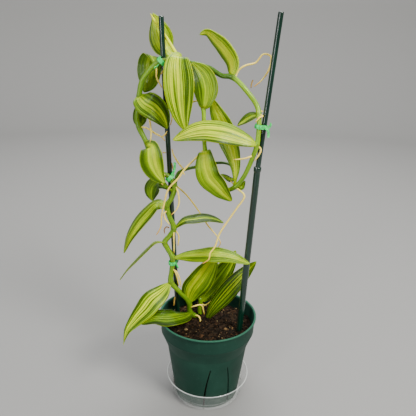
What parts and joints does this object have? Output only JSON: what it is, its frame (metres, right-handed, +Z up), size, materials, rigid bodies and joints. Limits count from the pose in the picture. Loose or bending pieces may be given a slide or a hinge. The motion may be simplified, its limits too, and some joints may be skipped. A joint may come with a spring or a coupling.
{
  "type": "potted vanilla vine",
  "caption": "Variegated vanilla vine trained up two stakes, in a slotted nursery pot that stands in a clear saucer.",
  "frame": {"origin": "middle of the saucer's underside, on the surface that it stands on", "axes": "+Z up along the pot's axis, -Y towards the side from which the plant is seen in the picture, +X to the right there"},
  "size_m": [0.1674, 0.115, 0.4383],
  "materials": {
    "saucer_plastic": "clear and thin",
    "pot_plastic": "satin",
    "soil_mix": "damp bark and peat",
    "stake_coat": "glossy",
    "tie_tape": "matt tape",
    "stem_skin": "smooth and fleshy",
    "leaf_young": "waxy",
    "leaf_green": "waxy",
    "leaf_dark": "waxy",
    "root_skin": "dull"
  },
  "bodies": {
    "root": {"saucer": "saucer_plastic", "pot": "pot_plastic", "soil": "soil_mix", "stake_left": "stake_coat", "stake_right_lower": "stake_coat", "stake_right_upper": "stake_coat", "tie_top": "tie_tape", "tie_middle": "tie_tape", "tie_low": "tie_tape", "tie_right": "tie_tape", "vine": "stem_skin", "stem_low": "stem_skin", "leaf_pot_left": "leaf_young", "leaf_over_rim": "leaf_dark", "leaf_middle_left": "leaf_green", "leaf_low_front": "leaf_green", "leaf_low_behind": "leaf_green", "leaf_low_right": "leaf_dark", "leaf_low_across": "leaf_green", "leaf_left_edge_on": "leaf_green", "leaf_middle_right": "leaf_dark", "leaf_top_left": "leaf_dark", "leaf_upper_left": "leaf_green", "leaf_upper_back": "leaf_dark", "leaf_heart": "leaf_young", "leaf_olive": "leaf_dark", "leaf_top_back": "leaf_young", "leaf_top_front": "leaf_young", "leaf_cupped": "leaf_young", "leaf_top_right": "leaf_young", "leaf_long_upright": "leaf_green", "leaf_small_right": "leaf_green", "leaf_level_front": "leaf_young", "leaf_twisted": "leaf_green", "leaf_shoot_left": "leaf_dark", "leaf_shoot_right": "leaf_dark", "leaf_spear": "leaf_young", "root_top_right": "root_skin", "root_long_front": "root_skin", "root_from_twisted": "root_skin", "root_middle_right": "root_skin", "root_middle_front": "root_skin", "root_upper_left": "root_skin", "root_upper_hanging": "root_skin", "root_behind_leaf": "root_skin", "root_top_left": "root_skin", "root_by_stake": "root_skin", "root_right_front": "root_skin", "root_right_back": "root_skin", "root_right_loop": "root_skin", "root_left_small": "root_skin", "root_stake_upper": "root_skin", "root_stake_middle": "root_skin", "root_stake_lower": "root_skin", "root_low_hanging": "root_skin", "root_base_front": "root_skin", "root_base_right": "root_skin", "root_base_tip": "root_skin"}
  },
  "joints": []
}
